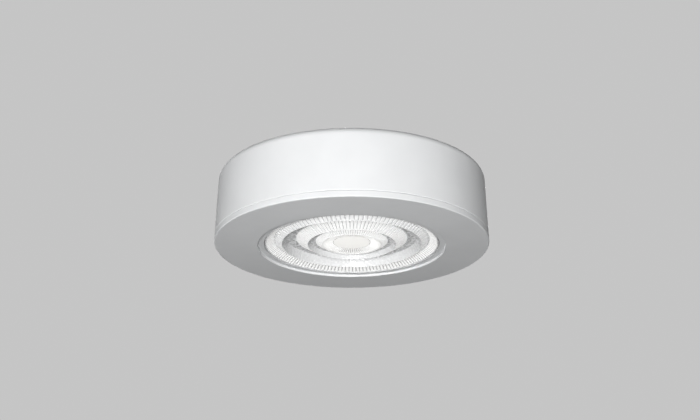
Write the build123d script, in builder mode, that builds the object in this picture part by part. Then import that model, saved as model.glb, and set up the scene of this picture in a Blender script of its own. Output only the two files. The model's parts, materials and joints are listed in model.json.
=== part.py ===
from build123d import *

import os
from math import atan, cos, hypot, pi, radians, sin, tan

# A spotlight insert with a full-width bezel, held by two sprung clips in a white drum that is
# screwed under a ceiling or a shelf. The origin is the middle of the drum's ceiling face, +Z points
# up into the ceiling and everything hangs below it. All lengths are in millimetres.

# Outer form, as seen from below and from the side
face_diameter = 68.0
body_height = 18.1
wall_draft = 2.5
shoulder_radius = 2.2
rim_height = 1.65
rim_edge_radius = 0.3
joint_chamfer = 0.15
joint_gap = 0.15
joint_gap_depth = 0.7
face_crown = 0.45
face_width = 10.75
aperture_edge_radius = 0.12
aperture_step = 0.58
ledge_width = 1.55

# Drum
drum_wall = 2.0
drum_flange = 2.4
drum_flange_width = 9.2
bezel_overlap = 5.0
seat_ring_height = 4.6

# Mounting plate under the drum's flange, and the screws that hold the two together
plate_sheet = 1.2
plate_gap = 0.3
plate_rim_gap = 0.8
ceiling_screw_spacing = 36.0
ceiling_screw_hole = 4.3
plate_screw_count = 3
plate_screw_depth = 1.5
plate_screw_angle = 90.0

# Grommet where the supply lead comes down through the plate
grommet_bore = 5.2
grommet_wall = 1.3
grommet_flange_width = 1.1
grommet_flange_height = 1.2
grommet_edge_gap = 0.5

# Small screws, all of one size
screw_shank = 2.0
screw_clearance = 0.05
screw_hole_play = 0.3
screw_head = 4.2
screw_head_height = 1.2
screw_slot_width = 0.6
screw_slot_length = 2.6
screw_slot_depth = 0.6

# Bezel sleeve behind the face
sleeve_gap = 0.3
sleeve_wall = 2.0
ledge_thickness = 1.37
post_diameter = 4.4
post_inset = 0.2
post_count = 4
post_hole_spare = 0.5
bezel_screw_length = 5.6

# Seal between the bezel and the drum
rim_seal_width = 1.4
rim_seal_height = 0.7
rim_seal_groove_play = 0.1

# Lens, its seal and the ring that presses on it
window_gap = 0.15
lens_recess = 0.07
lens_post_gap = 0.5
lens_flange = 1.3
lens_seal_height = 0.5
lens_seal_inset = 0.6
lens_disc_diameter = 9.2
lens_disc_recess = 0.65
lens_dish_width = 2.7
lens_inner_groove = 3.6
lens_inner_groove_depth = 1.2
lens_wide_groove_depth = 2.1
lens_rim_groove = 3.95
lens_rim_groove_depth = 1.2
lens_rim_land = 0.3
lens_valley_share = 0.85
lens_knee_share = 0.47
lens_rim_valley_share = 0.5
lens_rim_knee_share = 0.4
lens_knee_depth_share = 0.8
lens_bowl_diameter = 9.4
lens_bowl_height = 1.3
retainer_gap = 0.05
chamber_height = 3.35

# Heat sink
sink_edge_gap = 0.2
sink_base = 1.9
fin_thickness = 1.0
fin_pitch = 2.8
fin_height = 5.6
fin_length = 15.0
fin_row_gap = 1.2

# Light source on the underside of the heat sink
pad_margin = 0.25
pad_thickness = 0.3
source_side = 13.5
source_thickness = 0.8
phosphor_diameter = 9.2
phosphor_height = 0.3
phosphor_edge_radius = 0.15
holder_edge = 0.4
holder_thickness = 1.6
holder_window = 11.2
holder_flare = 2.4
holder_pocket_play = 0.2
holder_screw_offset = 9.9
holder_screw_length = 3.2

# Driver board on the back of the heat sink
board_thickness = 1.0
board_from_fins = 3.0
board_boss_diameter = 4.2
board_boss_inset = 2.6
board_screw_length = 2.6
chip_length = 4.2
chip_width = 3.4
chip_height = 1.1
inductor_side = 4.2
inductor_corner = 0.6
inductor_chamfer = 0.3
inductor_height = 2.6
capacitor_diameter = 3.6
capacitor_height = 2.7
capacitor_edge_radius = 0.36
component_gap = 0.4
socket_length = 6.4
socket_depth = 4.0
socket_height = 3.0
socket_wall = 0.7
socket_room = 0.95
socket_pin_pitch = 2.5
socket_pin_diameter = 0.8

# Leads from the driver board to the light source
lead_diameter = 1.0
lead_hole_play = 0.25
lead_loop_radius = 1.0
lead_socket_depth = 0.6
lead_end_gap = 0.1
lead_inset = 1.3
lead_bracket_gap = 0.4

# Clips: a bracket, a pin, a torsion spring and an arm on each side
clip_lever = 10.0
clip_sheet = 0.6
clip_width = 6.0
clip_pin_diameter = 1.6
clip_pin_play = 0.05
clip_pin_head = 2.6
clip_pin_head_height = 0.5
clip_side_gap = 0.2
clip_tip_reach = 0.6
clip_tip_gap = 0.2
clip_bend_radius = 0.5
clip_ear_radius = 1.5
clip_ear_overlap = 2.0
bracket_ear_radius = 1.8
bracket_tail = 5.0
rivet_diameter = 2.0
rivet_head = 2.8
rivet_head_height = 0.5
rivet_edge_radius = 0.25
rivet_spacing = 4.4
rivet_edge = 1.9
spring_wire = 0.6
spring_mean_radius = 1.5
spring_full_turns = 3
spring_tail_slope = 60.0
spring_leg_slope = 12.0
spring_end_gap = 0.15
spring_floor_gap = 0.35

# Radii and heights that follow from the sizes above
face_radius = face_diameter / 2
joint_radius = face_radius - rim_height * tan(radians(wall_draft))
rim_radius = face_radius - (rim_height - joint_gap) * tan(radians(wall_draft))
top_radius = face_radius - body_height * tan(radians(wall_draft))
aperture_radius = face_radius - face_width
window_radius = aperture_radius - ledge_width
cutout_radius = face_radius - bezel_overlap
cavity_radius = top_radius - drum_wall
flange_bore_radius = top_radius - drum_flange_width
sleeve_radius = cutout_radius - sleeve_gap
sleeve_bore_radius = sleeve_radius - sleeve_wall
post_circle = sleeve_radius - post_inset - post_diameter / 2
lens_flange_radius = post_circle - post_diameter / 2 - lens_post_gap
lens_front_radius = window_radius - window_gap
screw_hole_radius = screw_shank / 2 + screw_clearance
screw_passage_radius = screw_shank / 2 + screw_hole_play
z_edge = -body_height
z_joint = z_edge + rim_height
z_aperture = z_edge - face_crown
z_ledge = z_aperture + aperture_step
z_ledge_top = z_ledge + ledge_thickness
z_lens_front = z_ledge + lens_recess
z_lens_flange = z_ledge_top + lens_seal_height
z_lens_back = z_lens_flange + lens_flange
z_sleeve_top = z_lens_back + chamber_height
z_seat_top = z_joint + seat_ring_height
z_sink_top = z_sleeve_top + sink_base

# Plan of what stands on the heat sink: clips at both sides, then the driver board, then the fins
pivot_radius = cutout_radius - clip_lever
bracket_inner = pivot_radius - bracket_ear_radius - bracket_tail
bracket_ear_inner = clip_width / 2 + clip_side_gap
bracket_half = bracket_ear_inner + clip_sheet
rivet_radius = bracket_inner + rivet_edge
rivet_points = [(x * rivet_radius, y * rivet_spacing / 2) for x in (-1, 1) for y in (-1, 1)]
lead_hole_radius = lead_diameter / 2 + lead_hole_play
lead_hole_y = bracket_half + lead_bracket_gap + lead_hole_radius
lead_top_y = lead_hole_y + 2 * lead_loop_radius
board_near = lead_top_y - lead_inset
board_far = board_near + component_gap + inductor_side + component_gap + socket_depth
board_middle = (board_near + board_far) / 2
z_board_top = -plate_sheet - grommet_flange_height - socket_room - socket_height
z_board = z_board_top - board_thickness
row_half = inductor_side / 2 + component_gap + max(chip_width, capacitor_diameter)
boss_x = row_half + component_gap + screw_head / 2
board_half = boss_x + board_boss_inset
boss_points = [(-boss_x, board_middle), (boss_x, board_middle)]
lead_x = board_half - lead_inset
lead_points = [(-lead_x, lead_hole_y), (lead_x, lead_hole_y)]
holder_radius = hypot(lead_x, lead_hole_y) + lead_hole_radius + holder_edge
holder_screw_points = [(0, -holder_screw_offset), (0, holder_screw_offset)]
fin_front = board_near - board_from_fins
fin_count = int(2 * (bracket_inner - fin_row_gap - fin_thickness / 2) / fin_pitch) + 1

os.makedirs("parts", exist_ok=True)


def ring_points(radius, count, start_angle):
    """Points spread evenly on a circle, the first at start_angle degrees."""
    angles = [radians(start_angle + 360 * i / count) for i in range(count)]
    return [(radius * cos(a), radius * sin(a)) for a in angles]


def screws(points, seat, shank_length, head_side):
    """Cross-slot screws whose heads sit on the height seat, above it (1) or below it (-1)."""
    with BuildPart() as group:
        with BuildSketch(Plane.XY.offset(seat)):
            with Locations(*points):
                Circle(screw_head / 2)
        extrude(amount=head_side * screw_head_height)
        with BuildSketch(Plane.XY.offset(seat)):
            with Locations(*points):
                Circle(screw_shank / 2)
        extrude(amount=-head_side * shank_length)
        with BuildSketch(Plane.XY.offset(seat + head_side * screw_head_height)):
            with Locations(*points):
                Rectangle(screw_slot_length, screw_slot_width)
                Rectangle(screw_slot_width, screw_slot_length)
        extrude(amount=-head_side * screw_slot_depth, mode=Mode.SUBTRACT)
    return group


# Drum: a ring with an inward flange at the ceiling and a thick seat ring around the cut-out
plate_rim_radius = cavity_radius - plate_rim_gap
plate_screw_circle = (flange_bore_radius + plate_rim_radius) / 2
plate_screw_points = ring_points(plate_screw_circle, plate_screw_count, plate_screw_angle)
with BuildPart() as drum_housing:
    with BuildSketch(Plane.XZ):
        with BuildLine():
            Polyline(
                (cutout_radius, z_joint),
                (joint_radius, z_joint),
                (top_radius, 0),
                (flange_bore_radius, 0),
                (flange_bore_radius, -drum_flange),
                (cavity_radius, -drum_flange),
                (cavity_radius, z_seat_top),
                (cutout_radius, z_seat_top),
                close=True,
            )
        make_face()
    revolve(axis=Axis.Z)
    fillet(drum_housing.edges().group_by(Axis.Z)[-1].sort_by(SortBy.RADIUS)[-1], shoulder_radius)
    chamfer(drum_housing.edges().group_by(Axis.Z)[0].sort_by(SortBy.RADIUS)[-1], joint_chamfer)
    with BuildSketch(Plane.XY.offset(-drum_flange)):
        with Locations(*plate_screw_points):
            Circle(screw_hole_radius)
    extrude(amount=plate_screw_depth + screw_clearance, mode=Mode.SUBTRACT)
drum_housing.part.label = "drum_housing"
export_step(drum_housing.part, "parts/drum_housing.step")

# Mounting plate: pressed sheet, its middle flush with the ceiling face, its rim under the flange
plate_step_radius = flange_bore_radius - plate_gap
z_plate_rim = -drum_flange - plate_sheet
ceiling_screw_points = [(-ceiling_screw_spacing / 2, 0), (ceiling_screw_spacing / 2, 0)]
grommet_radius = grommet_bore / 2 + grommet_wall
grommet_flange_radius = grommet_radius + grommet_flange_width
lead_entry_offset = plate_step_radius - plate_sheet - grommet_edge_gap - grommet_flange_radius
with BuildPart() as mounting_plate:
    with BuildSketch(Plane.XZ):
        with BuildLine():
            Polyline(
                (0, 0),
                (plate_step_radius, 0),
                (plate_step_radius, -drum_flange),
                (plate_rim_radius, -drum_flange),
                (plate_rim_radius, z_plate_rim),
                (plate_step_radius - plate_sheet, z_plate_rim),
                (plate_step_radius - plate_sheet, -plate_sheet),
                (0, -plate_sheet),
                close=True,
            )
        make_face()
    revolve(axis=Axis.Z)
    with Locations(*ceiling_screw_points):
        Hole(ceiling_screw_hole / 2)
    with Locations(*plate_screw_points):
        Hole(screw_passage_radius)
    with Locations((0, lead_entry_offset)):
        Hole(grommet_radius)
mounting_plate.part.label = "mounting_plate"
export_step(mounting_plate.part, "parts/mounting_plate.step")

plate_screws = screws(plate_screw_points, z_plate_rim, plate_sheet + plate_screw_depth, -1)
plate_screws.part.label = "plate_screws"
export_step(plate_screws.part, "parts/plate_screws.step")

# Grommet: a soft bush in the plate with a flange under it
with BuildPart() as lead_grommet:
    with BuildSketch():
        with Locations((0, lead_entry_offset)):
            Circle(grommet_radius)
            Circle(grommet_bore / 2, mode=Mode.SUBTRACT)
    extrude(amount=-plate_sheet)
    with BuildSketch(Plane.XY.offset(-plate_sheet)):
        with Locations((0, lead_entry_offset)):
            Circle(grommet_flange_radius)
            Circle(grommet_bore / 2, mode=Mode.SUBTRACT)
    extrude(amount=-grommet_flange_height)
lead_grommet.part.label = "lead_grommet"
export_step(lead_grommet.part, "parts/lead_grommet.step")

# Bezel: the face, the stepped aperture and a sleeve with screw posts that enters the cut-out. Its
# outer edge stands a little off the drum, which leaves a fine dark line around the joint.
rim_seal_middle = (cutout_radius + joint_radius) / 2
rim_seal_inner = rim_seal_middle - rim_seal_width / 2
post_points = ring_points(post_circle, post_count, 180 / post_count)
with BuildPart() as bezel_ring:
    with BuildSketch(Plane.XZ):
        with BuildLine():
            Polyline(
                (face_radius, z_edge),
                (rim_radius, z_joint - joint_gap),
                (joint_radius - joint_gap_depth, z_joint - joint_gap),
                (joint_radius - joint_gap_depth, z_joint),
                (sleeve_radius, z_joint),
                (sleeve_radius, z_sleeve_top),
                (sleeve_bore_radius, z_sleeve_top),
                (sleeve_bore_radius, z_ledge_top),
                (window_radius, z_ledge_top),
                (window_radius, z_ledge),
                (aperture_radius, z_ledge),
                (aperture_radius, z_aperture),
                close=True,
            )
        make_face()
    revolve(axis=Axis.Z)
    fillet(bezel_ring.edges().group_by(Axis.Z)[0], aperture_edge_radius)
    rim_edges = bezel_ring.edges().filter_by(GeomType.CIRCLE).sort_by(SortBy.RADIUS)
    fillet(rim_edges[-1], rim_edge_radius)
    with BuildSketch(Plane.XY.offset(z_ledge_top)):
        with Locations(*post_points):
            Circle(post_diameter / 2)
    extrude(amount=z_sleeve_top - z_ledge_top)
    with BuildSketch(Plane.XY.offset(z_sleeve_top)):
        with Locations(*post_points):
            Circle(screw_hole_radius)
    extrude(amount=sink_base - bezel_screw_length - post_hole_spare, mode=Mode.SUBTRACT)
    with BuildSketch(Plane.XY.offset(z_joint)):
        Circle(rim_seal_inner + rim_seal_width + rim_seal_groove_play)
        Circle(rim_seal_inner - rim_seal_groove_play, mode=Mode.SUBTRACT)
    extrude(amount=-rim_seal_height, mode=Mode.SUBTRACT)
bezel_ring.part.label = "bezel_ring"
export_step(bezel_ring.part, "parts/bezel_ring.step")

# Flat seal in the bezel's groove, pressed against the drum
with BuildPart() as rim_seal:
    with BuildSketch(Plane.XY.offset(z_joint)):
        Circle(rim_seal_inner + rim_seal_width)
        Circle(rim_seal_inner, mode=Mode.SUBTRACT)
    extrude(amount=-rim_seal_height)
rim_seal.part.label = "rim_seal"
export_step(rim_seal.part, "parts/rim_seal.step")

# Seal under the lens flange
with BuildPart() as lens_seal:
    with BuildSketch(Plane.XY.offset(z_ledge_top)):
        Circle(lens_flange_radius)
        Circle(window_radius + lens_seal_inset, mode=Mode.SUBTRACT)
    extrude(amount=lens_seal_height)
lens_seal.part.label = "lens_seal"
export_step(lens_seal.part, "parts/lens_seal.step")

# Lens: a disc at the bottom of a shallow dish, three ring grooves around it, a flange on the seal
# and a bowl at the back. Each groove has a steep outer wall, a floor and a ramp up to its inner crest.
bowl_radius = lens_bowl_diameter / 2
disc_radius = lens_disc_diameter / 2
dish_crest = disc_radius + lens_dish_width
inner_crest = dish_crest + lens_inner_groove
rim_crest = lens_front_radius - lens_rim_land
outer_crest = rim_crest - lens_rim_groove
grooves = [
    (rim_crest, outer_crest, lens_rim_groove_depth, lens_rim_valley_share, lens_rim_knee_share),
    (outer_crest, inner_crest, lens_wide_groove_depth, lens_valley_share, lens_knee_share),
    (inner_crest, dish_crest, lens_inner_groove_depth, lens_valley_share, lens_knee_share),
]
with BuildPart() as lens:
    with BuildSketch(Plane.XZ):
        with BuildLine():
            outline = [(0, z_lens_back + lens_bowl_height)]
            outline += [(bowl_radius, z_lens_back)]
            outline += [(lens_flange_radius, z_lens_back)]
            outline += [(lens_flange_radius, z_lens_flange)]
            outline += [(lens_front_radius, z_lens_flange)]
            outline += [(lens_front_radius, z_lens_front)]
            for outer, inner, depth, valley, knee in grooves:
                outline += [(outer, z_lens_front)]
                outline += [(inner + valley * (outer - inner), z_lens_front + depth)]
                outline += [(inner + knee * (outer - inner), z_lens_front + lens_knee_depth_share * depth)]
            outline += [(dish_crest, z_lens_front)]
            outline += [(disc_radius, z_lens_front + lens_disc_recess)]
            outline += [(0, z_lens_front + lens_disc_recess)]
            Polyline(*outline, close=True)
        make_face()
    revolve(axis=Axis.Z)
lens.part.label = "lens"
export_step(lens.part, "parts/lens.step")

# Retainer: a white ring between the lens flange and the heat sink
with BuildPart() as lens_retainer:
    with BuildSketch(Plane.XY.offset(z_lens_back)):
        Circle(lens_flange_radius)
        Circle(lens_front_radius + retainer_gap, mode=Mode.SUBTRACT)
    extrude(amount=z_sleeve_top - z_lens_back)
lens_retainer.part.label = "lens_retainer"
export_step(lens_retainer.part, "parts/lens_retainer.step")

# Heat sink: a base disc, straight fins on its back and two bosses for the driver board
with BuildPart() as heat_sink:
    with BuildSketch(Plane.XY.offset(z_sleeve_top)):
        Circle(sleeve_radius - sink_edge_gap)
    extrude(amount=sink_base)
    with BuildSketch(Plane.XY.offset(z_sink_top)):
        with Locations((0, fin_front - fin_length / 2)):
            with GridLocations(fin_pitch, fin_length, fin_count, 1):
                Rectangle(fin_thickness, fin_length)
    extrude(amount=fin_height)
    with BuildSketch(Plane.XY.offset(z_sink_top)):
        with Locations(*boss_points):
            Circle(board_boss_diameter / 2)
    extrude(amount=z_board - z_sink_top)
    with Locations(*post_points):
        Hole(screw_passage_radius)
    with Locations(*lead_points):
        Hole(lead_hole_radius)
    with BuildSketch(Plane.XY.offset(z_sleeve_top)):
        with Locations(*holder_screw_points):
            Circle(screw_hole_radius)
    extrude(amount=holder_screw_length - holder_thickness + screw_clearance, mode=Mode.SUBTRACT)
    with BuildSketch(Plane.XY.offset(z_sink_top)):
        with Locations(*rivet_points):
            Circle(rivet_diameter / 2 + screw_clearance)
    extrude(amount=-sink_base, mode=Mode.SUBTRACT)
    with BuildSketch(Plane.XY.offset(z_board)):
        with Locations(*boss_points):
            Circle(screw_hole_radius)
    extrude(amount=board_thickness - board_screw_length - screw_clearance, mode=Mode.SUBTRACT)
heat_sink.part.label = "heat_sink"
export_step(heat_sink.part, "parts/heat_sink.step")

bezel_screws = screws(post_points, z_sink_top, bezel_screw_length, 1)
bezel_screws.part.label = "bezel_screws"
export_step(bezel_screws.part, "parts/bezel_screws.step")

# Light source: a soft pad, a square carrier and the round phosphor that glows
pad_side = source_side + 2 * pad_margin
with BuildPart() as thermal_pad:
    with BuildSketch(Plane.XY.offset(z_sleeve_top)):
        Rectangle(pad_side, pad_side)
    extrude(amount=-pad_thickness)
thermal_pad.part.label = "thermal_pad"
export_step(thermal_pad.part, "parts/thermal_pad.step")

z_source = z_sleeve_top - pad_thickness - source_thickness
with BuildPart() as led_carrier:
    with BuildSketch(Plane.XY.offset(z_source)):
        Rectangle(source_side, source_side)
    extrude(amount=source_thickness)
led_carrier.part.label = "led_carrier"
export_step(led_carrier.part, "parts/led_carrier.step")

with BuildPart() as led_phosphor:
    with BuildSketch(Plane.XY.offset(z_source)):
        Circle(phosphor_diameter / 2)
    extrude(amount=-phosphor_height)
    fillet(led_phosphor.edges().group_by(Axis.Z)[0], phosphor_edge_radius)
led_phosphor.part.label = "led_phosphor"
export_step(led_phosphor.part, "parts/led_phosphor.step")

# Holder: a white disc that clamps the carrier, with a flared window and a contact hole per lead
z_holder = z_sleeve_top - holder_thickness
pocket_side = pad_side + 2 * holder_pocket_play
with BuildPart() as led_holder:
    with BuildSketch(Plane.XY.offset(z_holder)):
        Circle(holder_radius)
    extrude(amount=holder_thickness)
    with BuildSketch(Plane.XY.offset(z_source)):
        Rectangle(pocket_side, pocket_side)
    extrude(amount=z_sleeve_top - z_source, mode=Mode.SUBTRACT)
    with BuildSketch(Plane.XY.offset(z_holder)):
        Circle(holder_window / 2 + holder_flare)
    with BuildSketch(Plane.XY.offset(z_source)):
        Circle(holder_window / 2)
    loft(mode=Mode.SUBTRACT)
    with Locations(*holder_screw_points):
        Hole(screw_passage_radius)
    with BuildSketch(Plane.XY.offset(z_sleeve_top)):
        with Locations(*lead_points):
            Circle(lead_hole_radius)
    extrude(amount=-lead_socket_depth - lead_end_gap, mode=Mode.SUBTRACT)
led_holder.part.label = "led_holder"
export_step(led_holder.part, "parts/led_holder.step")

holder_screws = screws(holder_screw_points, z_holder, holder_screw_length, -1)
holder_screws.part.label = "holder_screws"
export_step(holder_screws.part, "parts/holder_screws.step")

# Driver board with its parts, seated on the heat sink's bosses
with BuildPart() as driver_board:
    with BuildSketch(Plane.XY.offset(z_board)):
        with Locations((0, board_middle)):
            Rectangle(2 * board_half, board_far - board_near)
        with Locations(*boss_points):
            Circle(screw_passage_radius, mode=Mode.SUBTRACT)
    extrude(amount=board_thickness)
driver_board.part.label = "driver_board"
export_step(driver_board.part, "parts/driver_board.step")

board_screws = screws(boss_points, z_board_top, board_screw_length, 1)
board_screws.part.label = "board_screws"
export_step(board_screws.part, "parts/board_screws.step")

front_row_y = board_near + component_gap + inductor_side / 2
with BuildPart() as driver_inductor:
    with BuildSketch(Plane.XY.offset(z_board_top)):
        with Locations((0, front_row_y)):
            RectangleRounded(inductor_side, inductor_side, inductor_corner)
    extrude(amount=inductor_height)
    chamfer(driver_inductor.edges().group_by(Axis.Z)[-1], inductor_chamfer)
driver_inductor.part.label = "driver_inductor"
export_step(driver_inductor.part, "parts/driver_inductor.step")

with BuildPart() as driver_chip:
    with BuildSketch(Plane.XY.offset(z_board_top)):
        with Locations((-inductor_side / 2 - component_gap - chip_width / 2, front_row_y)):
            Rectangle(chip_width, chip_length)
    extrude(amount=chip_height)
driver_chip.part.label = "driver_chip"
export_step(driver_chip.part, "parts/driver_chip.step")

with BuildPart() as driver_capacitor:
    with BuildSketch(Plane.XY.offset(z_board_top)):
        with Locations((inductor_side / 2 + component_gap + capacitor_diameter / 2, front_row_y)):
            Circle(capacitor_diameter / 2)
    extrude(amount=capacitor_height)
    fillet(driver_capacitor.edges().group_by(Axis.Z)[-1], capacitor_edge_radius)
driver_capacitor.part.label = "driver_capacitor"
export_step(driver_capacitor.part, "parts/driver_capacitor.step")

# Supply socket on the board's outer edge, open outwards, with two pins
socket_back = board_far - socket_depth
pin_height = z_board_top + socket_height / 2
pin_points = [(-socket_pin_pitch / 2, pin_height), (socket_pin_pitch / 2, pin_height)]
with BuildPart() as supply_socket:
    with BuildSketch(Plane.XZ.offset(-board_far)):
        with Locations((0, pin_height)):
            Rectangle(socket_length, socket_height)
    extrude(amount=socket_depth)
    with BuildSketch(Plane.XZ.offset(-board_far)):
        with Locations((0, pin_height)):
            Rectangle(socket_length - 2 * socket_wall, socket_height - 2 * socket_wall)
    extrude(amount=socket_depth - socket_wall, mode=Mode.SUBTRACT)
    with BuildSketch(Plane.XZ.offset(-board_far)):
        with Locations(*pin_points):
            Circle(socket_pin_diameter / 2 + screw_clearance)
    extrude(amount=socket_depth, mode=Mode.SUBTRACT)
supply_socket.part.label = "supply_socket"
export_step(supply_socket.part, "parts/supply_socket.step")

with BuildPart() as socket_pins:
    with BuildSketch(Plane.XZ.offset(-socket_back)):
        with Locations(*pin_points):
            Circle(socket_pin_diameter / 2)
    extrude(amount=-(socket_depth - socket_wall))
socket_pins.part.label = "socket_pins"
export_step(socket_pins.part, "parts/socket_pins.step")

# Leads: up from the board, over its edge in a half turn and down into the holder
z_lead_arch = z_board_top + lead_diameter / 2
z_lead_end = z_sleeve_top - lead_socket_depth
for colour, x in (("black", -lead_x), ("red", lead_x)):
    with BuildPart() as lead:
        with BuildLine():
            Line((x, lead_top_y, z_board_top), (x, lead_top_y, z_lead_arch))
            ThreePointArc(
                (x, lead_top_y, z_lead_arch),
                (x, lead_hole_y + lead_loop_radius, z_lead_arch + lead_loop_radius),
                (x, lead_hole_y, z_lead_arch),
            )
            Line((x, lead_hole_y, z_lead_arch), (x, lead_hole_y, z_lead_end))
        with BuildSketch(Plane.XY.offset(z_board_top)):
            with Locations((x, lead_top_y)):
                Circle(lead_diameter / 2)
        sweep()
    lead.part.label = f"lead_{colour}"
    export_step(lead.part, f"parts/lead_{colour}.step")

# Clips: each arm turns on a pin in its bracket and its turned-down tip rests on the drum's seat ring
z_bracket_top = z_sink_top + clip_sheet
z_pivot = z_bracket_top + spring_floor_gap + spring_wire / 2 + spring_mean_radius
z_tip = z_seat_top + clip_tip_gap
tip_outer = cutout_radius + clip_tip_reach
leaf_start = spring_mean_radius + spring_wire
arm_half = clip_width / 2
bracket_length = bracket_tail + 2 * bracket_ear_radius
coil_length = clip_width - 2 * clip_sheet - 2 * clip_side_gap - spring_wire
coil_turns = spring_full_turns + (spring_tail_slope + spring_leg_slope) / 360
coil_pitch = coil_length / coil_turns
coil_lead = atan(coil_pitch / (2 * pi * spring_mean_radius))
tail_drop = z_pivot + spring_mean_radius * cos(radians(spring_tail_slope)) - z_bracket_top
tail_drop -= spring_wire / 2 + spring_end_gap
tail_length = tail_drop / (sin(radians(spring_tail_slope)) * cos(coil_lead))
leg_drop = spring_mean_radius * cos(radians(spring_leg_slope)) - clip_sheet / 2
leg_drop -= spring_wire / 2 + spring_end_gap
leg_length = leg_drop / (sin(radians(spring_leg_slope)) * cos(coil_lead))
for side, name in ((-1, "left"), (1, "right")):
    pivot_x = side * pivot_radius

    with BuildPart() as clip_bracket:
        with BuildSketch(Plane.XY.offset(z_sink_top)):
            with Locations((side * (bracket_inner + bracket_length / 2), 0)):
                Rectangle(bracket_length, 2 * bracket_half)
            with Locations(*[p for p in rivet_points if p[0] * side > 0]):
                Circle(rivet_diameter / 2 + screw_clearance, mode=Mode.SUBTRACT)
        extrude(amount=clip_sheet)
        with BuildSketch(Plane.XZ.offset(bracket_ear_inner)):
            with Locations((pivot_x, z_pivot)):
                Circle(bracket_ear_radius)
            with Locations((pivot_x, (z_bracket_top + z_pivot) / 2)):
                Rectangle(2 * bracket_ear_radius, z_pivot - z_bracket_top)
            with Locations((pivot_x, z_pivot)):
                Circle(clip_pin_diameter / 2 + clip_pin_play, mode=Mode.SUBTRACT)
        extrude(amount=clip_sheet)
        mirror(about=Plane.XZ)
    clip_bracket.part.label = f"clip_bracket_{name}"
    export_step(clip_bracket.part, f"parts/clip_bracket_{name}.step")

    with BuildPart() as clip_pin:
        with BuildSketch(Plane.XZ):
            with Locations((pivot_x, z_pivot)):
                Circle(clip_pin_diameter / 2)
        extrude(amount=bracket_half, both=True)
        with BuildSketch(Plane.XZ.offset(bracket_half)):
            with Locations((pivot_x, z_pivot)):
                Circle(clip_pin_head / 2)
        extrude(amount=clip_pin_head_height)
        mirror(about=Plane.XZ)
    clip_pin.part.label = f"clip_pin_{name}"
    export_step(clip_pin.part, f"parts/clip_pin_{name}.step")

    with BuildPart() as clip_arm:
        with BuildSketch(Plane.XZ) as leaf:
            with BuildLine():
                Polyline(
                    (side * (pivot_radius + leaf_start), z_pivot + clip_sheet / 2),
                    (side * tip_outer, z_pivot + clip_sheet / 2),
                    (side * tip_outer, z_tip),
                    (side * (tip_outer - clip_sheet), z_tip),
                    (side * (tip_outer - clip_sheet), z_pivot - clip_sheet / 2),
                    (side * (pivot_radius + leaf_start), z_pivot - clip_sheet / 2),
                    close=True,
                )
            make_face()
            outer_bend = (side * tip_outer, z_pivot + clip_sheet / 2)
            fillet(leaf.vertices().sort_by_distance(outer_bend)[0], clip_bend_radius + clip_sheet)
            inner_bend = (side * (tip_outer - clip_sheet), z_pivot - clip_sheet / 2)
            fillet(leaf.vertices().sort_by_distance(inner_bend)[0], clip_bend_radius)
        extrude(amount=arm_half, both=True)
        with BuildSketch(Plane.XZ.offset(arm_half - clip_sheet)):
            with Locations((pivot_x, z_pivot)):
                Circle(clip_ear_radius)
            with BuildLine():
                ear_end = pivot_x + side * (leaf_start + clip_ear_overlap)
                Polyline(
                    (pivot_x, z_pivot - clip_ear_radius),
                    (ear_end, z_pivot - clip_sheet / 2),
                    (ear_end, z_pivot + clip_sheet / 2),
                    (pivot_x, z_pivot + clip_ear_radius),
                    close=True,
                )
            make_face()
            with Locations((pivot_x, z_pivot)):
                Circle(clip_pin_diameter / 2 + clip_pin_play, mode=Mode.SUBTRACT)
        extrude(amount=clip_sheet)
        mirror(about=Plane.XZ)
    clip_arm.part.label = f"clip_arm_{name}"
    export_step(clip_arm.part, f"parts/clip_arm_{name}.step")

    # The coil winds round the pin, one end pressing on the bracket and the other on the arm
    coil = Helix(
        pitch=coil_pitch,
        height=coil_length,
        radius=spring_mean_radius,
        center=(pivot_x, -coil_length / 2, z_pivot),
        direction=(0, 1, 0),
        lefthand=side < 0,
    ).rotate(Axis((pivot_x, 0, z_pivot), (0, 1, 0)), -side * spring_tail_slope)
    with BuildPart() as clip_spring:
        with BuildLine():
            tail = Line(coil @ 0 - (coil % 0) * tail_length, coil @ 0)
            add(coil)
            Line(coil @ 1, coil @ 1 + (coil % 1) * leg_length)
        with BuildSketch(Plane(origin=tail @ 0, z_dir=tail % 0)):
            Circle(spring_wire / 2)
        sweep()
    clip_spring.part.label = f"clip_spring_{name}"
    export_step(clip_spring.part, f"parts/clip_spring_{name}.step")

# Rivets that hold the brackets down on the heat sink
with BuildPart() as bracket_rivets:
    with BuildSketch(Plane.XY.offset(z_bracket_top)):
        with Locations(*rivet_points):
            Circle(rivet_head / 2)
    extrude(amount=rivet_head_height)
    fillet(bracket_rivets.edges().group_by(Axis.Z)[-1], rivet_edge_radius)
    with BuildSketch(Plane.XY.offset(z_bracket_top)):
        with Locations(*rivet_points):
            Circle(rivet_diameter / 2)
    extrude(amount=-clip_sheet - sink_base)
bracket_rivets.part.label = "bracket_rivets"
export_step(bracket_rivets.part, "parts/bracket_rivets.step")
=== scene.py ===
import json
from collections import namedtuple
from contextlib import contextmanager
from functools import cache
from math import cos, pi, radians, sin

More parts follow.
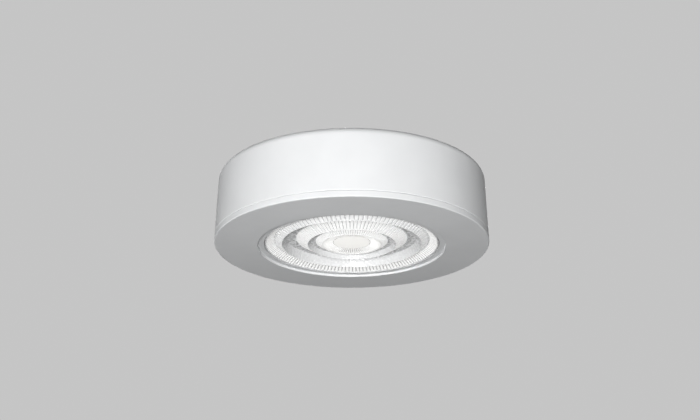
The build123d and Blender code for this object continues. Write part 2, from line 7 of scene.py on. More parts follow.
import bmesh
import bpy
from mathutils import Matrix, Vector

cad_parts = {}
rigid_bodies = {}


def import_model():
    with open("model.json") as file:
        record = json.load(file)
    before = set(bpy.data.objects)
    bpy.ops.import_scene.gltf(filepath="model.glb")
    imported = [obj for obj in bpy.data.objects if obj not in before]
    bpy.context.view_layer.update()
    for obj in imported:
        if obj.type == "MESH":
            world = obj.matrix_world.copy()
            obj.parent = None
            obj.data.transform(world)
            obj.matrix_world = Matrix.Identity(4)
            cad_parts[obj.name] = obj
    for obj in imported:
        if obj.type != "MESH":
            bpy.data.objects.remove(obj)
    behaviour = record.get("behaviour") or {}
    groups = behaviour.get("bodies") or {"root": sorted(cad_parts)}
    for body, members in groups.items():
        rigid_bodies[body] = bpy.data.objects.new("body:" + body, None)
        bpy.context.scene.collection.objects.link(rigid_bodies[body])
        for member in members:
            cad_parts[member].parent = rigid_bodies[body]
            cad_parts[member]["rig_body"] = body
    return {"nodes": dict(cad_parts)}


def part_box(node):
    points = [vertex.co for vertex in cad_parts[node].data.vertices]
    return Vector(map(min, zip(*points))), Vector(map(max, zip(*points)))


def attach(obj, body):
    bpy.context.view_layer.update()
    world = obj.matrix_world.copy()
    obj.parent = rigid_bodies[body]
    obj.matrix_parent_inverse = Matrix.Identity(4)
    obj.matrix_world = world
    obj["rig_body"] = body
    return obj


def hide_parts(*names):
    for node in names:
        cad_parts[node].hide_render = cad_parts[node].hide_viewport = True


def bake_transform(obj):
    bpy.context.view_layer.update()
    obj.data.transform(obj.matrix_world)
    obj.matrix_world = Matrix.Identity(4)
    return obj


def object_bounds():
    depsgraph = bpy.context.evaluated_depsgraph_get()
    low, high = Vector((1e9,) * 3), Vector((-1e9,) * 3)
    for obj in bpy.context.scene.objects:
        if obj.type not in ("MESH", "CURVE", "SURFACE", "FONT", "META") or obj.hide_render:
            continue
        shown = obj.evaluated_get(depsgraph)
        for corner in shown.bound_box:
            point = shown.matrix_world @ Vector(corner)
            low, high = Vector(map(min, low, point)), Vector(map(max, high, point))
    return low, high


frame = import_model()
cad_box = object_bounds()

bl_info = {
    "name": "Drum Spotlight",
    "version": (1, 0, 0),
    "blender": (4, 5, 0),
    "location": "View3D > Sidebar > Spotlight",
    "description": "Dresses a clip-in spotlight and the white drum that holds it",
    "category": "Add Mesh",
}

MM = 0.001


# Settings that a user would change


def length(name, description, millimetres):
    return bpy.props.FloatProperty(
        name=name, description=description, default=millimetres * MM, unit="LENGTH", precision=5
    )


def number(name, description, value, **kind):
    return bpy.props.FloatProperty(name=name, description=description, default=value, min=0.0, **kind)


def factor(name, description, value):
    return number(name, description, value, max=1.0, subtype="FACTOR")


def factors(name, description, *values):
    return bpy.props.FloatVectorProperty(
        name=name, description=description, default=values, size=len(values), min=0.0, max=1.0
    )


def count(name, description, value, low, high):
    return bpy.props.IntProperty(name=name, description=description, default=value, min=low, max=high)


def angle(name, description, degrees):
    return bpy.props.FloatProperty(
        name=name, description=description, default=radians(degrees), subtype="ANGLE"
    )


def colour(name, description, *shade):
    return bpy.props.FloatVectorProperty(
        name=name, description=description, default=shade, min=0.0, max=1.0, subtype="COLOR"
    )


class SpotShellSettings(bpy.types.PropertyGroup):
    """White drum, bezel and the plate that carries them."""

    white: colour("White", "Paint of the drum and the bezel", 0.835, 0.845, 0.853)
    white_dull: colour("Dull white", "Slightly duller patches in the paint", 0.805, 0.815, 0.823)
    inner_white: colour("Inner white", "Reflecting white round the light source", 0.88, 0.88, 0.87)
    shell_edge: length("Shell edge", "Rounding of the edges of drum, bezel, retainer and seals", 0.1)
    plate_edge: length("Plate edge", "Rounding of the pressed plate's edges", 0.25)
    bush_edge: length("Bush edge", "Rounding of the bush for the lead", 0.2)


class SpotLensSettings(bpy.types.PropertyGroup):
    """Lens with ring grooves and radial ribs at its front."""

    columns: count("Columns", "Columns of faces round the lens", 1144, 120, 1440)
    ticks: count("Ticks", "Short ribs round the disc", 72, 12, 120)
    inner_ribs: count("Inner ribs", "Ribs in the inner groove", 88, 12, 180)
    wide_ribs: count("Wide ribs", "Ribs in the wide groove", 88, 12, 180)
    rim_ribs: count("Rim ribs", "Ribs on the ramp near the rim", 104, 12, 180)
    wall_ribs: count("Wall ribs", "Ribs on the wall at the rim", 143, 12, 180)
    notch: factor("Notch", "Notched share of a rib on a ramp", 1 / 3)
    wide_notch: factor("Wide notch", "Notched share of a tick and of a rib at the rim", 0.6)
    rib_depth: length("Rib depth", "Depth of a rib", 0.26)
    rim_rib: factor("Rim rib", "Depth of a rib on the ramp near the rim beside that of the others", 0.9)
    disc_radius: length("Disc radius", "Plain disc in the middle of the lens", 4.6)
    disc_recess: length("Disc recess", "Depth of the disc behind the front", 0.65)
    disc_crown: length("Disc crown", "Rise of the disc's middle above its edge", 0.15)
    first_ring: length("First ring", "Radius of the first crest", 7.3)
    second_ring: length("Second ring", "Radius of the second crest", 10.9)
    third_ring: length("Third ring", "Radius of the third crest", 17.3)
    rim_ring: length("Rim ring", "Radius of the last crest, near the rim", 21.25)
    front_radius: length("Front radius", "Radius of the lens in its window", 21.55)
    bowl_radius: length("Bowl radius", "Radius of the bowl at the back", 4.7)
    knee: factors("Knee", "End of a groove's ramp, in shares of its width and depth", 0.47, 0.8)
    rim_knee: factors("Rim knee", "The same for the groove near the rim", 0.4, 0.8)
    valley: factor("Valley", "Place of a groove's valley between its crests", 0.85)
    rim_valley: factor("Rim valley", "The same for the groove near the rim", 0.5)
    groove_depth: length("Groove depth", "Depth of the inner groove", 1.2)
    wide_groove_depth: length("Wide groove depth", "Depth of the wide groove", 2.1)
    rim_groove_depth: length("Rim groove depth", "Depth of the groove near the rim", 1.2)
    edge: length("Edge", "Rounding at the rim of the lens", 0.12)
    body: colour("Body", "Tint of the lens", 0.86, 0.865, 0.87)
    # Painted glow: these glows are emission on the lens in place of the source's light that it scatters
    edge_glow: factor("Edge glow", "Glow of the disc's edge beside that of its middle", 0.6)
    dish_glow: factor("Dish glow", "Glow of the dish round the disc", 0.75)
    ramp_glow: factor("Ramp glow", "Glow of the inner and the wide ramp", 0.5)
    rim_glow: factor("Rim glow", "Glow of the ramp near the rim", 0.3)
    wall_glow: factor("Wall glow", "Glow of the wall at the rim", 0.6)
    # Painted shade: lost light darkens the lens's colour and dims its painted glow in the grooves' hollows
    lost: factors("Lost light", "Loss at a groove's ramp, knee, valley and wall", 0.0, 1.0, 0.45, 0.1)
    rim_lost: factors("Rim lost light", "The same for the groove near the rim", 0.05, 0.6, 0.6, 0.1)


class SpotSourceSettings(bpy.types.PropertyGroup):
    """Light source behind the lens."""

    glow: colour("Glow", "Colour of the light", 1.0, 0.98, 0.92)
    glow_strength: number("Glow strength", "Brightness of the glowing patch", 4.0)
    # Painted glow: emission on the lens in place of the light that it scatters at its middle
    disc_glow: number("Disc glow", "Light that the lens scatters at its middle", 0.5)
    # Painted shade: these shares darken the lens's colour in its rib notches and deep in its grooves
    rib_shade: factor("Rib shade", "Share of the light that is lost in a rib", 0.85)
    valley_shade: factor("Valley shade", "Share of the light that is lost deep in a groove", 0.72)
    specks: number("Specks", "Specks of lost light in a metre", 1600.0)
    facets: number("Facets", "Uneven facets of the lens in a metre", 1500.0)
    facet_depth: length("Facet depth", "Unevenness of the lens, which makes it sparkle", 0.18)
    phosphor: colour("Phosphor", "Colour of the patch itself", 0.95, 0.86, 0.5)


class SpotMetalSettings(bpy.types.PropertyGroup):
    """Metal pieces behind the bezel."""

    cast: colour("Cast aluminium", "Heat sink", 0.62, 0.63, 0.64)
    zinc: colour("Zinc", "Mounting plate and clip brackets", 0.6, 0.61, 0.63)
    spring: colour("Spring steel", "Clip arms and springs", 0.5, 0.51, 0.53)
    fastener: colour("Fastener", "Screws, pins and rivets", 0.66, 0.66, 0.67)
    sheet_edge: length("Sheet edge", "Rounding of small pieces and sheet metal", 0.08)
    cast_edge: length("Cast edge", "Rounding of the heat sink's edges", 0.15)
    head_radius: length("Head radius", "Radius of a screw head", 2.1)
    head_height: length("Head height", "Height of a screw head", 1.2)
    shank_radius: length("Shank radius", "Radius of a screw's shank", 1.0)
    slot_width: length("Slot width", "Width of the cross slot", 0.6)
    slot_length: length("Slot length", "Length of the cross slot", 2.6)
    slot_depth: length("Slot depth", "Depth of the cross slot", 0.7)
    screw_sides: count("Screw sides", "Faces round a screw", 48, 12, 96)


class SpotBoardSettings(bpy.types.PropertyGroup):
    """Small parts on the driver board."""

    legs_per_side: count("Legs", "Legs on each of two sides of the chip", 4, 2, 12)
    leg_pitch: length("Leg pitch", "From one leg to the next", 0.8)
    leg_width: length("Leg width", "Width of a leg", 0.36)
    leg_reach: length("Leg reach", "How far a leg stands out from the chip", 0.36)
    leg_root: length("Leg root", "How far a leg goes into the chip", 0.1)
    leg_rise: length("Leg rise", "Height at which a leg leaves the chip", 0.6)
    leg_sheet: length("Leg sheet", "Thickness of a leg", 0.14)
    resistor_length: length("Resistor length", "Length of a chip resistor", 1.6)
    resistor_width: length("Resistor width", "Width of a chip resistor", 0.8)
    resistor_height: length("Resistor height", "Height of a chip resistor", 0.5)
    resistor_end: length("Resistor end", "Metal end of a chip resistor", 0.3)
    resistor_aside: length("Resistors aside", "From the middle to the resistors beside the socket", 4.8)
    resistor_start: length("Resistor start", "From the socket's front to the first resistor", 1.1)
    resistor_pitch: length("Resistor pitch", "From one resistor to the next", 1.6)
    solder_radius: length("Solder radius", "Radius of a solder joint on the board", 0.95)
    solder_height: length("Solder height", "Height of a solder joint", 0.45)
    solder_sides: count("Solder sides", "Faces round a solder joint", 24, 8, 96)
    lead_radius: length("Lead radius", "Radius of a lead", 0.5)


class SpotClipSettings(bpy.types.PropertyGroup):
    """Torsion springs of the clips."""

    pivot_out: length("Pivot offset", "From the middle to a clip's pin", 19.0)
    pivot_down: length("Pivot depth", "From the ceiling face down to a clip's pin", 6.8)
    wire_radius: length("Wire radius", "Radius of the spring wire", 0.3)
    coil_radius: length("Coil radius", "Mean radius of the coil", 1.5)
    coil_half: length("Coil half", "Half the length of the coil along the pin", 1.9)
    start_turn: angle("Start turn", "Turn of the coil where the tail joins it", -60.0)
    end_turn: angle("End turn", "Turn of the coil where the leg joins it", 1092.0)
    tail: length("Tail", "Straight end on the bracket", 2.85)
    leg: length("Leg", "Straight end on the arm", 3.48)
    wire_sides: count("Wire sides", "Faces round the wire", 14, 6, 48)
    coil_steps: count("Coil steps", "Points along the coil", 160, 24, 800)


class SpotStageSettings(bpy.types.PropertyGroup):
    """Camera, light and floor."""

    backdrop: colour("Backdrop", "Plain background", 0.56, 0.56, 0.56)
    floor: colour("Floor", "Plain pale floor", 0.7, 0.7, 0.7)
    floor_drop: length("Floor drop", "How far the floor lies below the ceiling face", 560.0)
    view_distance: length("View distance", "From the camera to the middle of the face", 433.5)
    view_elevation: angle("View elevation", "Camera below the face", 19.4)
    view_pitch: angle("View pitch", "Upward tilt of the camera", 20.57)
    view_aside: length("View aside", "Camera to the left of the middle", 0.43)
    face_drop: length("Face drop", "Middle of the face below the bezel's seal", 1.0)
    focal_length: number("Focal length", "In millimetres on a 36 mm sensor", 90.0, unit="CAMERA")
    key_distance: length("Key distance", "From the key light and the side lights to the object", 520.0)
    key_aside: angle("Key aside", "Key light to the left of the camera", 7.0)
    key_size: length("Key size", "Diameter of the key light and the side lights", 160.0)
    key_elevation: angle("Key elevation", "Key light below the drum", 19.6)
    key_power: number("Key power", "Soft light beside the camera", 0.66, unit="POWER")
    side_aside: angle("Side aside", "Side lights to the right and left of the camera", 75.0)
    side_power: number("Side power", "Weak soft light from each side", 0.06, unit="POWER")
    back_distance: length("Back distance", "From the back light to the object", 780.0)
    back_size: length("Back size", "Diameter of the back light", 320.0)
    back_power: number("Back power", "Soft light from behind", 1.4, unit="POWER")
    fill: number("Fill", "Light that comes from all round", 0.035)


# Finishes: each is a small node tree on object coordinates


def put(tree, value, socket):
    """Links an output to an input, or sets a plain value on it."""
    if isinstance(value, bpy.types.NodeSocket):
        tree.links.new(value, socket)
    else:
        socket.default_value = value


def feed(tree, node, **inputs):
    """Puts outputs or values on a node's inputs, by name with _ for a space."""
    for name, value in inputs.items():
        put(tree, value, node.inputs[name.replace("_", " ")])
    return node


def add(tree, kind, data_type=None, **inputs):
    """The outputs of a new node with the given inputs."""
    node = tree.nodes.new(kind)
    if data_type:
        node.data_type = data_type
    return feed(tree, node, **inputs).outputs


def calc(tree, operation, *terms, clamped=False):
    """One math node on sockets or numbers."""
    node = tree.nodes.new("ShaderNodeMath")
    node.operation = operation
    node.use_clamp = clamped
    for term, socket in zip(terms, node.inputs):
        put(tree, term, socket)
    return node.outputs["Value"]


def finish(name, **constants):
    """A material whose Principled shader has the given constants."""
    material = bpy.data.materials.new(name)
    material.use_nodes = True
    tree = material.node_tree
    return material, tree, feed(tree, tree.nodes["Principled BSDF"], **constants)


def noise(tree, cells_per_metre, detail=3.0, stretch=(1.0, 1.0, 1.0)):
    """The value of a noise in object space."""
    place = add(tree, "ShaderNodeTexCoord")["Object"]
    place = add(tree, "ShaderNodeMapping", Vector=place, Scale=stretch)["Vector"]
    return add(tree, "ShaderNodeTexNoise", Vector=place, Scale=cells_per_metre, Detail=detail)["Fac"]


def spread(tree, source, low, high, start=0.3, end=0.7):
    """A source's range from start to end spread over low to high."""
    ends = {"From_Min": start, "From_Max": end, "To_Min": low, "To_Max": high}
    return add(tree, "ShaderNodeMapRange", Value=source, **ends)["Result"]


def two_tone(tree, source, first, second):
    """A colour that goes from first to second with a source."""
    return add(tree, "ShaderNodeMix", "RGBA", Factor=source, A=(*first, 1.0), B=(*second, 1.0))["Result"]


def relief(tree, source, depth):
    """Normals of a fine surface relief of the given depth in metres."""
    return add(tree, "ShaderNodeBump", Height=source, Distance=depth)["Normal"]


def grained(name, first, second, rough, grain, deep, stretch=(1.0, 1.0, 1.0), patch=120.0, **constants):
    """A finish with patchy colour, uneven gloss and a fine grain, which most pieces share.
    Grains and patches are counted in a metre, and the grain is deep in millimetres."""
    material, tree, shader = finish(name, **constants)
    patches = spread(tree, noise(tree, patch), 0.0, 1.0)
    fine = noise(tree, grain, 4.0, stretch)
    feed(
        tree, shader,
        Base_Color=two_tone(tree, patches, first, second),
        Roughness=spread(tree, fine, *rough),
        Normal=relief(tree, fine, deep * MM),
    )
    return material


def darker(shade, share):
    return tuple(share * channel for channel in shade)


def housing_white():
    shell = bpy.context.scene.spot_shell
    paint = (shell.white, shell.white_dull)
    return grained(
        "housing_white_paint", *paint, rough=(0.5, 0.6), grain=2600.0, deep=0.008, Specular_IOR_Level=0.3
    )


def inner_white():
    white = bpy.context.scene.spot_shell.inner_white
    tones = (white, darker(white, 0.95))
    return grained("inner_white_plastic", *tones, rough=(0.5, 0.62), grain=1800.0, deep=0.01)


def seal_silicone():
    greys = (0.4, 0.41, 0.42), (0.34, 0.35, 0.36)
    return grained("seal_silicone_grey", *greys, rough=(0.5, 0.7), grain=3000.0, deep=0.01)


def grommet_rubber():
    black = (0.035, 0.035, 0.037)
    tones = (black, darker(black, 0.6))
    return grained("grommet_rubber_black", *tones, rough=(0.55, 0.8), grain=2400.0, deep=0.03)


def cast_aluminium():
    cast = bpy.context.scene.spot_metal.cast
    tones = (cast, darker(cast, 0.86))
    return grained("cast_aluminium_grain", *tones, rough=(0.38, 0.58), grain=2200.0, deep=0.04, Metallic=1.0)


def zinc_steel():
    """Sheet with spangles, brushed along Y."""
    zinc = bpy.context.scene.spot_metal.zinc
    return grained(
        "zinc_steel_sheet", zinc, darker(zinc, 0.82), rough=(0.28, 0.46), grain=900.0, deep=0.01,
        stretch=(1.0, 0.06, 1.0), patch=260.0, Metallic=1.0,
    )


def spring_steel():
    """Strip that is drawn along X."""
    spring = bpy.context.scene.spot_metal.spring
    return grained(
        "spring_steel_strip", spring, darker(spring, 0.8), rough=(0.2, 0.36), grain=2200.0, deep=0.006,
        stretch=(0.05, 1.0, 1.0), Metallic=1.0,
    )


def fastener_steel():
    steel = bpy.context.scene.spot_metal.fastener
    tones = (steel, darker(steel, 0.85))
    return grained("fastener_steel_zinc", *tones, rough=(0.22, 0.38), grain=3200.0, deep=0.008, Metallic=1.0)


def thermal_grey():
    greys = (0.36, 0.4, 0.44), (0.28, 0.31, 0.35)
    return grained("thermal_grey_pad", *greys, rough=(0.6, 0.8), grain=4200.0, deep=0.03)


def carrier_white():
    whites = (0.82, 0.82, 0.8), (0.76, 0.76, 0.73)
    return grained("carrier_white_ceramic", *whites, rough=(0.3, 0.45), grain=3600.0, deep=0.006)


def chip_black():
    blacks = (0.03, 0.03, 0.033), (0.018, 0.018, 0.02)
    return grained("chip_black_epoxy", *blacks, rough=(0.5, 0.7), grain=5200.0, deep=0.02)


def ferrite_grey():
    greys = (0.1, 0.1, 0.105), (0.06, 0.06, 0.064)
    return grained("ferrite_grey_sintered", *greys, rough=(0.55, 0.75), grain=3800.0, deep=0.05)


def can_aluminium():
    """Can that is drawn along Z."""
    bright = (0.72, 0.73, 0.74)
    return grained(
        "can_aluminium_drawn", bright, darker(bright, 0.85), rough=(0.16, 0.3), grain=2600.0, deep=0.004,
        stretch=(1.0, 1.0, 0.05), Metallic=1.0,
    )


def pin_brass():
    brass = (0.75, 0.6, 0.3), (0.62, 0.47, 0.2)
    return grained("pin_brass_bright", *brass, rough=(0.18, 0.3), grain=3000.0, deep=0.004, Metallic=1.0)


def socket_ivory():
    ivory = (0.74, 0.71, 0.6), (0.68, 0.64, 0.53)
    return grained("socket_ivory_nylon", *ivory, rough=(0.4, 0.55), grain=2600.0, deep=0.01)


def lead_red():
    reds = (0.5, 0.02, 0.02), (0.38, 0.012, 0.012)
    return grained("lead_red_sleeve", *reds, rough=(0.3, 0.45), grain=1800.0, deep=0.008)


def lead_black():
    blacks = (0.02, 0.02, 0.022), (0.012, 0.012, 0.013)
    return grained("lead_black_sleeve", *blacks, rough=(0.3, 0.45), grain=1800.0, deep=0.008)


def board_green():
    """Solder mask with the copper tracks showing through it as a lighter green."""
    material, tree, shader = finish("board_green_mask", Coat_Weight=0.4, Coat_Roughness=0.2)
    tracks = add(
        tree, "ShaderNodeTexBrick",
        Vector=add(tree, "ShaderNodeTexCoord")["Object"],
        Scale=520.0,
        Mortar_Size=0.06,
        Color1=(0.012, 0.1, 0.035, 1.0),
        Color2=(0.016, 0.115, 0.04, 1.0),
        Mortar=(0.04, 0.22, 0.07, 1.0),
    )
    feed(
        tree, shader,
        Base_Color=tracks["Color"],
        Roughness=spread(tree, noise(tree, 2400.0), 0.3, 0.42),
        Normal=relief(tree, tracks["Fac"], 0.02 * MM),
    )
    return material


def lens_clear():
    """Prismatic acrylic whose painted glow stands in for the light it scatters from the source, most of it in
    the middle.
    The mesh is marked with its painted glow, the cut of its ribs and the painted shade deep in its grooves."""
    lens, source = bpy.context.scene.spot_lens, bpy.context.scene.spot_source
    material, tree, shader = finish(
        "lens_clear_acrylic", Specular_IOR_Level=0.4, Coat_Weight=0.25, Coat_Roughness=0.1
    )

    def marked(name, scale):
        mark = tree.nodes.new("ShaderNodeAttribute")
        mark.attribute_name = name
        return calc(tree, "MULTIPLY", mark.outputs["Fac"], scale)

    facets = noise(tree, source.facets, detail=1.0)
    # Painted shade: the rib notches and the grooves' depths darken the colour and dim the painted glow,
    # broken into specks
    specks = spread(tree, noise(tree, source.specks), 0.1, 1.0, start=0.43, end=0.52)
    deep = calc(tree, "MULTIPLY", marked("deep", source.valley_shade), specks)
    lost = calc(tree, "MAXIMUM", marked("cut", source.rib_shade), deep)
    kept = calc(tree, "SUBTRACT", 1.0, lost)
    feed(
        tree, shader,
        # Painted shade in the base colour
        Base_Color=two_tone(tree, lost, lens.body, darker(lens.body, 0.3)),
        Roughness=spread(tree, facets, 0.18, 0.34),
        Normal=relief(tree, facets, source.facet_depth),
        # Painted glow: the lens is no lamp; this emission stands in for the source's light scattered in it
        Emission_Color=two_tone(tree, marked("glow", 1.0), (1.0, 1.0, 1.0), source.glow),
        Emission_Strength=calc(tree, "MULTIPLY", marked("glow", source.disc_glow), kept),
    )
    return material


def phosphor_yellow():
    """Yellow silicone with fine grains, glowing."""
    source = bpy.context.scene.spot_source
    material, tree, shader = finish("phosphor_yellow_glow", Emission_Strength=source.glow_strength)
    grains = noise(tree, 5200.0)
    feed(
        tree, shader,
        Base_Color=two_tone(tree, grains, source.phosphor, darker(source.phosphor, 0.8)),
        Emission_Color=two_tone(tree, grains, source.glow, darker(source.glow, 0.92)),
        Roughness=spread(tree, grains, 0.4, 0.6),
    )
    return material


FINISHES = {
    make.__name__: make
    for make in (
        housing_white, inner_white, socket_ivory, zinc_steel, spring_steel, fastener_steel, grommet_rubber,
        seal_silicone, lens_clear, cast_aluminium, thermal_grey, carrier_white, phosphor_yellow, board_green,
        chip_black, ferrite_grey, can_aluminium, pin_brass, lead_red, lead_black,
    )
}
slot_of = {node: thing.data.materials[0].name.split(".")[0] for node, thing in frame["nodes"].items()}


@cache
def finish_of(slot):
    """The finish of a material slot, made once."""
    return FINISHES[slot]()


# Pieces

WELD = 0.001 * MM  # points nearer than this become one
CAD_WELD = 0.002 * MM  # the same for the loose triangles of a node
FLAT_ANGLE = radians(0.2)  # a node's faces become one where they turn by less
ROUND_ANGLE = radians(35.0)  # a node's edges are rounded where they turn by more
AREA_WEIGHT = 100  # largest share that a face's area can have in the shading


def new_piece(name, mesh):
    piece = bpy.data.objects.new(name, mesh)
    bpy.context.scene.collection.objects.link(piece)
    return piece


@contextmanager
def reshaped(mesh):
    """A mesh opened for changes, which go into it at the end."""
    shape = bmesh.new()
    shape.from_mesh(mesh)
    yield shape
    shape.to_mesh(mesh)
    shape.free()


def settle(piece):
    """Turns a piece's modifiers into its own plain mesh, without faces that have no area."""
    rough = piece.data
    graph = bpy.context.evaluated_depsgraph_get()
    piece.data = bpy.data.meshes.new_from_object(piece.evaluated_get(graph), depsgraph=graph)
    piece.modifiers.clear()
    bpy.data.meshes.remove(rough)
    with reshaped(piece.data) as shape:
        bmesh.ops.dissolve_degenerate(shape, dist=WELD, edges=shape.edges[:])


def stand_for(piece, node):
    """The piece takes a node's place, body and slot."""
    if not piece.data.materials:
        piece.data.materials.append(finish_of(slot_of[node]))
    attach(piece, frame["nodes"][node]["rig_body"])
    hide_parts(node)


def soften(edge, **names):
    """Pieces with the shapes of nodes, their triangles joined and their sharp edges rounded.
    Each node is given with the name of its piece."""
    for node, name in names.items():
        mesh = frame["nodes"][node].data.copy()
        mesh.materials.clear()
        mesh.attributes.remove(mesh.attributes["custom_normal"])
        with reshaped(mesh) as shape:
            bmesh.ops.remove_doubles(shape, verts=shape.verts[:], dist=CAD_WELD)
            bmesh.ops.dissolve_limit(
                shape, angle_limit=FLAT_ANGLE, verts=shape.verts[:], edges=shape.edges[:]
            )
        mesh.shade_smooth()
        piece = new_piece(name, mesh)
        rounding = piece.modifiers.new("Rounded edges", "BEVEL")
        rounding.width = edge
        rounding.segments = 2
        rounding.limit_method = "ANGLE"
        rounding.angle_limit = ROUND_ANGLE
        piece.modifiers.new("Even shading", "WEIGHTED_NORMAL").weight = AREA_WEIGHT
        settle(piece)
        stand_for(piece, node)


def point_mesh(name, points, joined=False):
    """Bare vertices, joined in a line where asked."""
    mesh = bpy.data.meshes.new(name)
    edges = [(i, i + 1) for i in range(len(points) - 1)] if joined else []
    mesh.from_pydata(points, edges, [])
    return mesh


def geometry_tree(name, *inputs):
    """A new node tree with a geometry input, named inputs and a geometry output."""
    tree = bpy.data.node_groups.new(name, "GeometryNodeTree")
    tree.interface.new_socket("Geometry", in_out="INPUT", socket_type="NodeSocketGeometry")
    for label, kind in (*inputs, ("Material", "Material")):
        tree.interface.new_socket(label, in_out="INPUT", socket_type="NodeSocket" + kind)
    tree.interface.new_socket("Geometry", in_out="OUTPUT", socket_type="NodeSocketGeometry")
    return tree, tree.nodes.new("NodeGroupInput").outputs


def close_tree(tree, geometry, material):
    """Ends a tree in plain geometry with its material."""
    real = add(tree, "GeometryNodeRealizeInstances", Geometry=geometry)["Geometry"]
    painted = add(tree, "GeometryNodeSetMaterial", Geometry=real, Material=material)["Geometry"]
    add(tree, "NodeGroupOutput", Geometry=painted)


def grow(piece, tree, **values):
    """Runs a tree on a piece with the named values and keeps the result as a plain mesh."""
    modifier = piece.modifiers.new(tree.name, "NODES")
    modifier.node_group = tree
    for item in tree.interface.items_tree:
        if item.in_out == "INPUT" and item.name in values:
            modifier[item.identifier] = values[item.name]
    settle(piece)


def sharpen(mesh, degrees):
    """Smooth shading, broken at edges that turn by more than an angle."""
    mesh.shade_smooth()
    mesh.set_sharp_from_angle(angle=radians(degrees))


# Drum and bezel


class SPOT_OT_shell(bpy.types.Operator):
    """White drum and bezel, and the seals between them"""

    bl_idname = "spot.shell"
    bl_label = "Drum and Bezel"

    def execute(self, context):
        soften(
            context.scene.spot_shell.shell_edge,
            drum_housing="white_drum",
            bezel_ring="white_bezel",
            rim_seal="bezel_seal",
            lens_seal="lens_gasket",
            lens_retainer="white_retainer",
        )
        return {"FINISHED"}


class SPOT_OT_fixing(bpy.types.Operator):
    """Mounting plate and the bush for the supply lead"""

    bl_idname = "spot.fixing"
    bl_label = "Mounting Plate"

    def execute(self, context):
        shell = context.scene.spot_shell
        soften(shell.plate_edge, mounting_plate="ceiling_plate")
        soften(shell.bush_edge, lead_grommet="lead_bush")
        return {"FINISHED"}


# Lens

CROWN = ((0.0, 1.0), (0.5, 0.75), (0.95, 0.1))  # shares of the disc's radius and rise
TICK_SPAN = (0.05, 0.75)  # full ticks, in shares of the way up the dish
TICK_END = 0.9  # the ticks have run out here
RAMP_SPAN = (0.06, 0.92)  # full ribs on a ramp, in shares of the way to the knee
WALL_SPAN = (0.05, 0.94)  # full ribs on a wall, in shares of the way to the crest
WALL_FOOT = 0.02  # the wall's own ribs begin here
EDGE_SHARE = 0.3  # the middle of a rounded edge lies this share of its radius from both faces
LENS_SHARP = 12.0  # degrees past which an edge shows as sharp
# A point of the lens: painted glow, number, depth and notched share of ribs, and painted shade deep in a
# groove
LensPoint = namedtuple(
    "LensPoint", "radius height glow ribs rib notch deep", defaults=(0.0, 1, 0.0, 1.0, 0.0)
)


def groove_outline(inner, outer, front, depth, knee, valley, glow, ramp, wall, lost):
    """A groove between two crests: a ramp to a knee, a floor to the valley and a wall.
    The knee and the valley are shares of the groove's width and depth.
    The ramp and the wall each have a number of ribs, their share of the full depth
    and the share of a rib's width that is notched.
    The shares of painted glow are for the ramp and the wall, those of lost light, a painted shade, for the
    ramp, the knee, the valley and the wall."""

    def at(share_out, share_down, *marks):
        return LensPoint(inner + share_out * (outer - inner), front + share_down * depth, *marks)

    def on_ramp(share, *marks):
        return at(share * knee[0], share * knee[1], *marks)

    def on_wall(share, *marks):
        return at(valley + share * (1 - valley), 1 - share, *marks)

    floor_ribs = (ramp[0], min(ramp[1], wall[1]), ramp[2])
    return [
        on_ramp(0.0, glow[0]),
        *(on_ramp(share, glow[0], *ramp, lost[0]) for share in RAMP_SPAN),
        on_ramp(1.0, min(glow), *ramp, lost[1]),
        on_wall(0.0, min(glow), *floor_ribs, lost[2]),
        on_wall(WALL_FOOT, min(glow), *wall, lost[2]),
        *(on_wall(share, glow[1], *wall, lost[3]) for share in WALL_SPAN),
    ]


def lens_outline(lens):
    """Half outline from the middle of the front round to the middle of the back."""
    low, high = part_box("lens")
    flange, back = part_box("lens_seal")[1].z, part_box("lens_retainer")[0].z
    front = low.z
    floor = front + lens.disc_recess
    ticks = (lens.ticks, 1.0, lens.wide_notch)
    plain = (1, 0.0, 1.0)

    def on_disc(share, rise, *marks):
        return LensPoint(share * lens.disc_radius, floor - rise * lens.disc_crown, *marks)

    def in_dish(share, *marks):
        radius = lens.disc_radius + share * (lens.first_ring - lens.disc_radius)
        return LensPoint(radius, floor - share * lens.disc_recess, lens.dish_glow, *marks)

    def plain_groove(inner, outer, depth, ribs):
        """A groove whose wall has no ribs."""
        return groove_outline(
            inner, outer, front, depth, lens.knee, lens.valley, (lens.ramp_glow, 0.0),
            (ribs, 1.0, lens.notch), plain, lens.lost,
        )

    # Each point carries its share of painted glow and, at the disc's edge and in the grooves, of painted
    # shade
    return [
        *(on_disc(share, rise, 1.0) for share, rise in CROWN),
        on_disc(1.0, 0.0, lens.edge_glow, *plain, 1.0),
        *(in_dish(share, *ticks) for share in TICK_SPAN),
        in_dish(TICK_END),
        *plain_groove(lens.first_ring, lens.second_ring, lens.groove_depth, lens.inner_ribs),
        *plain_groove(lens.second_ring, lens.third_ring, lens.wide_groove_depth, lens.wide_ribs),
        *groove_outline(
            lens.third_ring, lens.rim_ring, front, lens.rim_groove_depth,
            lens.rim_knee, lens.rim_valley, (lens.rim_glow, lens.wall_glow),
            (lens.rim_ribs, lens.rim_rib, lens.notch), (lens.wall_ribs, 1.0, lens.wide_notch), lens.rim_lost,
        ),
        LensPoint(lens.rim_ring, front),
        LensPoint(lens.front_radius - lens.edge, front),
        LensPoint(lens.front_radius - EDGE_SHARE * lens.edge, front + EDGE_SHARE * lens.edge),
        LensPoint(lens.front_radius, front + lens.edge),
        LensPoint(lens.front_radius, flange),
        LensPoint(high.x, flange),
        LensPoint(high.x, back),
        LensPoint(lens.bowl_radius, back),
        LensPoint(0.0, high.z),
    ]


